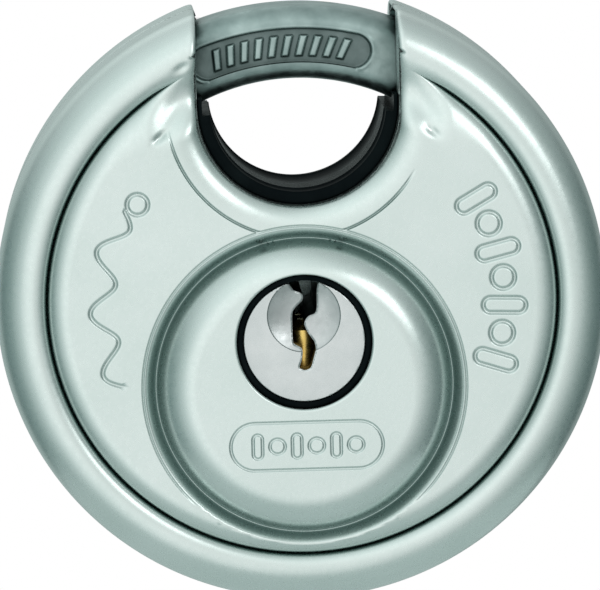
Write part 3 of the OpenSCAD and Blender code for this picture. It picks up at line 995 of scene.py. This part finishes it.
def liner():
    """Black plastic channel under the shackle, with two fine beads by each mouth and stepped ends."""
    section = []
    section += arc(LINER_R + 0.5, LINER_H - 0.35, 0.5, 0.35, 180, 90, 6)
    section += arc(LINER_OUT - 0.2, LINER_H - 0.2, 0.2, 0.2, 90, 0, 4)
    section += [(LINER_OUT, 4.0), (LINER_FOOT, 4.0), (LINER_FOOT, -4.4), (LINER_OUT, -4.4)]
    section += arc(LINER_OUT - 0.2, -LINER_H + 0.2, 0.2, 0.2, 0, -90, 4)
    section += arc(LINER_R + 0.5, -LINER_H + 0.35, 0.5, 0.35, 270, 180, 6)
    for h in (-5.0, -4.3, 4.3, 5.0):
        section += [(LINER_R, h - 0.2), (LINER_R - 0.09, h), (LINER_R, h + 0.2)]
    steps = [side * LINER_STEP_ANGLE + turn for side in (-1, 1) for turn in (-0.1, 0.1)]
    angles = 180 + np.sort(np.concatenate((np.linspace(-LINER_ANGLE, LINER_ANGLE, 120), steps)))
    obj = sweep("window_liner", section, angles, (0, WINDOW_Y), PLASTIC, "body",
                thin=(LINER_STEP_ANGLE, LINER_R + LINER_STEP))
    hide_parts("notch_liner")


liner()


def panel_relief(r, angle):
    """How far the shackle's front face lies below its plain height."""
    mid = np.clip(angle, PANEL_START, PANEL_END)
    d = np.hypot(r - PANEL_R, np.radians(angle - mid) * PANEL_R) - PANEL_HALF
    depth = PANEL_DEPTH * smooth_step(-d, -0.10, 0.10)
    rim = -PANEL_RIM * np.exp(-(d - 0.22) ** 2 / 0.02)
    for i in range(BARS):
        centre = BAR_START + BAR_PITCH * i
        along = np.radians(angle - centre) * PANEL_R - BAR_SLANT * (r - PANEL_R)
        across = np.abs(along) - math.radians(BAR_HALF) * PANEL_R
        ends = np.abs(r - PANEL_R) - BAR_REACH
        bar = np.maximum(across, ends)
        depth = depth - BAR_HEIGHT * smooth_step(-bar, -0.10, 0.12)
    return depth + rim


def relief_at(r, angle):
    """The panel's relief at one place."""
    return float(panel_relief(np.array([r]), np.array([angle]))[0])


def shackle_stations():
    """Places along the shackle as (angle, share of the full width), closest together on the panel."""
    nose_mid = NOSE_ANGLE + math.degrees(math.asin(SHACKLE_HALF / SHACKLE_MID))
    out = [(NOSE_ANGLE + (nose_mid - NOSE_ANGLE) * (1 - math.cos(t)), math.sin(t))
           for t in np.linspace(0.12, math.pi / 2, 14)]
    out += [(a, 1.0) for a in np.arange(nose_mid + 0.5, PANEL_START - 4.5, 1.0)]
    out += [(a, 1.0) for a in np.arange(PANEL_START - 4.5, PANEL_END + 4.5, 0.22)]
    out += [(a, 1.0) for a in np.arange(PANEL_END + 5, TAIL_ANGLE + 0.5, 1.0)]
    return out


def shackle_ring(angle, k):
    """Section of the shackle at a place, as (radius, height), with a crowned front."""
    w = SHACKLE_HALF * k
    edge = min(SHACKLE_EDGE, w)
    pinch = SHACKLE_EDGE * (1 - math.sqrt(max(0.0, 1 - (1 - min(1.0, (angle - NOSE_ANGLE) / 3.6)) ** 2)))
    front, rear = SHACKLE_FRONT - 0.8 * pinch, -SHACKLE_REAR + 0.8 * pinch
    ring = arc(SHACKLE_MID + w - edge, rear + edge, edge, edge, -90, 0, 7)
    ring += arc(SHACKLE_MID + w - edge, front - edge, edge, edge, 0, 90, 9)
    for r in np.linspace(SHACKLE_MID + w - edge, SHACKLE_MID - w + edge, 48)[1:-1]:
        ring.append((r, front - (relief_at(r, angle) if k == 1.0 else 0.0)))
    ring += arc(SHACKLE_MID - w + edge, front - edge, edge, edge, 90, 180, 9)
    ring += arc(SHACKLE_MID - w + edge, rear + edge, edge, edge, 180, 270, 7)
    return [(r, h - SHACKLE_CROWN * ((r - SHACKLE_MID) / SHACKLE_HALF) ** 2 * (h > 0)) for r, h in ring]


def shackle():
    """Crowned bar bent round the case's axis, with a round nose and a recessed panel."""
    stations = shackle_stations()
    points = []
    for angle, k in stations:
        s, c = math.sin(math.radians(angle)), math.cos(math.radians(angle))
        ring = shackle_ring(angle, k)
        points += [(r * s, r * c, h) for r, h in ring]
    faces = ring_faces(len(stations), len(ring))
    obj = add_object("shackle_bow", points, faces, SHACKLE_STEEL, "shackle")
    finish_solid(obj, 60)
    obj.data.materials.append(RECESS_STEEL)
    for f in obj.data.polygons:
        x, y, h = front_view(f.center)
        if h > 2.5 and relief_at(math.hypot(x, y), math.degrees(math.atan2(x, y))) > 0.2:
            f.material_index = 1
    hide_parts("shackle")


shackle()


# outline of the keyway about the plug's axis, clockwise from its top left corner
KEY_SLOT = [
    (-1.38, 4.95), (1.50, 4.95), (1.10, 4.55), (1.10, 2.25), (0.30, 1.95), (0.0, 1.40), (0.30, 0.65),
    (0.85, -0.10), (0.95, -0.65), (0.75, -1.30), (0.50, -2.20), (0.0, -2.40), (-0.50, -2.20),
    (-0.25, -1.50), (-0.15, -0.85), (-0.25, -0.55), (-0.80, -0.25), (-0.95, -0.10), (-0.95, 2.35),
    (-0.60, 2.80), (-0.10, 3.25), (0.0, 3.65), (-0.25, 3.95), (-0.80, 4.15), (-0.95, 4.40),
]


def soften(outline):
    """Round the corners of an open outline by cutting them twice."""
    pts = [np.array(p) for p in outline]
    for _ in range(2):
        out = [pts[0]]
        for p, q in zip(pts[:-1], pts[1:]):
            out += [p * 0.82 + q * 0.18, p * 0.18 + q * 0.82]
        pts = out + [pts[-1]]
    return pts


def plug_outline():
    """Closed outline of the plug's face, and the keyway's part of it."""
    left_a, right_a = (math.degrees(math.atan2(x, y)) for x, y in KEY_SLOT[:2])
    track = soften(KEY_SLOT[1:] + KEY_SLOT[:1])
    track[0], track[-1] = at(FLANGE_R, right_a), at(FLANGE_R, left_a)
    rim = [at(FLANGE_R, a) for a in np.linspace(360 + left_a, right_a, 150)[1:-1]]
    return np.array(track + rim + track[:1]), track


def outline_test(ring):
    """Test for points inside a closed outline."""

    def inside(x, y):
        odd = np.zeros(x.shape, dtype=bool)
        for (ax, ay), (bx, by) in zip(ring[:-1], ring[1:]):
            odd ^= ((ay > y) != (by > y)) & (x < (bx - ax) * (y - ay) / (by - ay + 1e-15) + ax)
        return odd

    return inside


def add_offsets(cloud, line, distances):
    """Points on both sides of a line."""
    for d in distances:
        for p, q in zip(line[:-1], line[1:]):
            length = np.linalg.norm(q - p)
            if length < 1e-6:
                continue
            side = np.array([p[1] - q[1], q[0] - p[0]]) / length
            count = max(1, int(length / 0.15))
            for k in range(count):
                c = p + (q - p) * (k + 0.5) / count
                for sign in (-1, 1):
                    cloud.add(*(c + sign * d * side), 0.05)


def plug_cloud(ring):
    """All points of the plug's face, with the outline and the dish's edge first."""
    cloud = Cloud()
    cloud.path([tuple(p) for p in ring[:-1]], True)
    add_offsets(cloud, ring, (0.05, 0.1, 0.18))
    for d in (2.9, 2.94, 2.98, 3.02, 3.07, 3.2, 2.7, 2.5, 2.3, 2.1, 1.9, 1.7, 1.5, 1.2, 0.9, 0.6, 0.3):
        cloud.ring((0, DISH_Y), d, 4, 0.03 if d > 2.8 else 0.12)
    for x in np.arange(-5, 5, 0.25):
        for y in np.arange(-5, 5, 0.25):
            if math.hypot(x, y) < FLANGE_R - 0.1:
                cloud.add(x, y, 0.15)
    return cloud


def plug_surface(track):
    """Shape of the plug's face, with its dish, its bevelled rim and the keyway's rounded mouth."""

    def shape(p):
        x, y = p[:, 0], p[:, 1]
        d = np.hypot(x, y - DISH_Y)
        sunk = DISH_DEPTH * np.clip(1 - (d / DISH_R) ** 2, 0, 1)
        sunk = sunk + DISH_EDGE * smooth_step(-d, -DISH_R, -DISH_R + 0.07)
        edge = np.clip(1 - (FLANGE_R - np.hypot(x, y)) / PLUG_BEVEL, 0, 1)
        mouth = np.clip(1 - segment_distance(x, y, [track]) / MOUTH_R, 0, 1)
        h = PLUG_FACE - sunk - PLUG_BEVEL * (1 - np.sqrt(1 - edge ** 2)) - MOUTH_DEPTH * mouth ** 2
        return np.column_stack((x, y, h))

    return shape


def plug_front():
    """Plug face with its dish and keyway, and the slotted round body behind it."""
    outline, track = plug_outline()
    uv, faces = plug_cloud(outline).triangles(outline_test(outline))
    shape = plug_surface(track)
    face = shape(uv)
    offset = np.array([0, PLUG_Y, 0])
    solid = Solid()
    top = solid.vertices(face + offset)
    solid.sheet(top, faces, surface_normals(shape, uv))
    upper = np.array(boundary_loops(faces)[0])
    flat = face[upper][:, :2]
    radius = np.hypot(flat[:, 0], flat[:, 1])
    on_rim = radius > FLANGE_R - 0.02
    narrow = flat * np.where(on_rim, PLUG_R / radius, np.minimum(1, (PLUG_R - 0.001) / radius))[:, None]
    rings = [top + upper]
    for xy, h in ((flat, FLANGE_FOOT), (narrow, FLANGE_FOOT), (narrow, KEYWAY_END)):
        points = np.column_stack((xy, np.full(len(xy), h))) + offset
        rings.append(solid.vertices(points) + np.arange(len(upper)))
    for above, below in zip(rings[:-1], rings[1:]):
        solid.wall(above, below)
    solid.faces.append(list(rings[-1][::-1]))
    solid.normals += [np.array([0, 0, -1.0])] * len(upper)
    return solid.build("plug_front", NICKEL, "plug")


def paint_plug(obj):
    """Give the dish and the keyway's walls darker materials of their own, painted shade."""
    obj.data.materials.append(DISH_PAINTED_SHADE)
    obj.data.materials.append(KEYWAY_PAINTED_SHADE)
    for f in obj.data.polygons:
        x, y, h = front_view(f.center)
        y -= PLUG_Y
        # the dish's faces get the darker nickel: painted shade
        if len(f.vertices) == 3 and math.hypot(x, y - DISH_Y) < DISH_R:
            f.material_index = 1
        # the keyway's walls get near-black steel: painted shade
        elif len(f.vertices) == 4 and math.hypot(x, y) < PLUG_R - 0.05 and h < PLUG_FACE - 0.1:
            f.material_index = 2


def plug():
    """The cylinder's plug, in a slotted front piece and a plain rear piece."""
    front = plug_front()
    paint_plug(front)
    joint = KEYWAY_END - 0.02
    section = [(0.0, PLUG_REAR), (PLUG_R - 0.3, PLUG_REAR), (PLUG_R, PLUG_REAR + 0.3)]
    section += [(PLUG_R, joint), (0.0, joint)]
    rear = lathe("plug_rear", section, (0, PLUG_Y), NICKEL, "plug")
    for piece in (front, rear):
        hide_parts("plug")


plug()


def seal_ring():
    """Black dust ring between the plug and the shell."""
    section, r = [], 0.22
    inner, outer, low, high = FLANGE_R + 0.04 + r, HOLE_R - 0.04 - r, 8.97 + r, 9.55 - r
    for x, h, start in ((outer, low, -90), (outer, high, 0), (inner, high, 90), (inner, low, 180)):
        section += arc(x, h, r, r, start, start + 90, 5)
    obj = sweep("plug_seal", section, np.arange(0, 360, 3), (0, PLUG_Y), PLASTIC, "body", closed=True)
    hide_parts("dust_ring")


seal_ring()


# ---- studio and camera

CAMERA_DISTANCE = 0.380
CAMERA_AZIMUTH = -2.0
CAMERA_HEIGHT = 8.0
CAMERA_ROLL = 1.3
FRAME_WIDTH = 0.04987
SENSOR = 36.0
FLOOR_R = 0.105
FLOOR_DROP = 60.0


def camera():
    """Long lens from a little above, rolled a little."""
    data = bpy.data.cameras.new("camera")
    data.sensor_width = SENSOR
    data.lens = SENSOR * CAMERA_DISTANCE / FRAME_WIDTH
    data.clip_start, data.clip_end = 0.01, 20
    cam = bpy.data.objects.new("camera", data)
    az, el = math.radians(CAMERA_AZIMUTH), math.radians(CAMERA_HEIGHT)
    back = Vector((math.sin(az) * math.cos(el), -math.cos(az) * math.cos(el), math.sin(el)))
    aim = Vector((0.00005, 0.0, AXIS_Z - 0.0005))
    cam.location = aim + back * CAMERA_DISTANCE
    cam.rotation_mode = "QUATERNION"
    turn = (-back).to_track_quat("-Z", "Y")
    cam.rotation_quaternion = turn @ Quaternion((0, 0, 1), math.radians(-CAMERA_ROLL))
    link_object(cam)
    bpy.context.scene.camera = cam


def area_light(name, location, size, power):
    """A square white light aimed at the case's axis."""
    data = bpy.data.lights.new(name, "AREA")
    data.size = size
    data.energy = power
    light = bpy.data.objects.new(name, data)
    light.location = location
    aim = Vector((0, 0, AXIS_Z)) - Vector(location)
    light.rotation_euler = aim.to_track_quat("-Z", "Y").to_euler()
    link_object(light)


def map_range(nodes, links, source, start, end, low=0.0, high=1.0, smooth=False):
    """Map a value from start and end to low and high."""
    node = nodes.new("ShaderNodeMapRange")
    node.interpolation_type = "SMOOTHSTEP" if smooth else "LINEAR"
    for socket, value in (("From Min", start), ("From Max", end), ("To Min", low), ("To Max", high)):
        node.inputs[socket].default_value = value
    links.new(source, node.inputs["Value"])
    return node.outputs["Result"]


def world_light(nodes, links, back):
    """Light that depends on direction: brightest in front, darkest at the sides, dim behind."""
    coords = nodes.new("ShaderNodeTexCoord")
    split = nodes.new("ShaderNodeSeparateXYZ")
    links.new(coords.outputs["Generated"], split.inputs["Vector"])
    front = map_range(nodes, links, split.outputs["Y"], 1.0, -1.0)
    tone = ramp(nodes, links, front, [
        (0.0, (0.36, 0.42, 0.41)), (0.18, (0.31, 0.37, 0.36)), (0.31, (0.12, 0.17, 0.165)),
        (0.465, (0.15, 0.21, 0.205)), (0.69, (0.24, 0.31, 0.30)), (0.89, (0.52, 0.59, 0.58)),
        (0.97, (0.84, 0.88, 0.87)), (1.0, (0.90, 0.93, 0.92))])
    above = map_range(nodes, links, split.outputs["Z"], 0.0, 0.9, 0.0, 0.42, True)
    links.new(combine(nodes, links, "ADD", tone, above), back.inputs["Color"])
    # the left is brighter than the right
    side = map_range(nodes, links, split.outputs["X"], -0.20, 0.25, 1.22, 0.86)
    links.new(side, back.inputs["Strength"])


def studio():
    """A white background for the camera, and directional light for the object."""
    world = bpy.data.worlds.new("studio")
    bpy.context.scene.world = world
    world.use_nodes = True
    nodes, links = world.node_tree.nodes, world.node_tree.links
    back = nodes["Background"]
    world_light(nodes, links, back)
    white = nodes.new("ShaderNodeBackground")
    white.inputs["Color"].default_value = (1, 1, 1, 1)
    path = nodes.new("ShaderNodeLightPath")
    mix = nodes.new("ShaderNodeMixShader")
    links.new(path.outputs["Is Camera Ray"], mix.inputs["Fac"])
    links.new(back.outputs["Background"], mix.inputs[1])
    links.new(white.outputs["Background"], mix.inputs[2])
    links.new(mix.outputs["Shader"], nodes["World Output"].inputs["Surface"])
    area_light("key", (0.26, -0.46, 0.16), 0.20, 0.22)
    bpy.context.scene.view_settings.view_transform = "Standard"


def floor():
    """A pale disc below the object, which lights it from below."""
    mesh = bpy.data.meshes.new("floor")
    r, z = FLOOR_R, AXIS_Z - (CASE_R + FLOOR_DROP) * MM
    ring = [(r * math.cos(t), r * math.sin(t), z) for t in np.linspace(0, 2 * math.pi, 64, endpoint=False)]
    mesh.from_pydata(ring, [], [tuple(range(64))])
    obj = bpy.data.objects.new("floor", mesh)
    link_object(obj)
    mat, nodes, links, shader = new_material("pale_floor")
    tex = noise(nodes, links, 40.0)
    tone = ramp(nodes, links, tex.outputs["Fac"], [(0.3, (0.68, 0.74, 0.73)), (0.7, (0.72, 0.78, 0.77))])
    links.new(tone, shader.inputs["Base Color"])
    shader.inputs["Roughness"].default_value = 0.7
    obj.data.materials.append(mat)


camera()
studio()
floor()
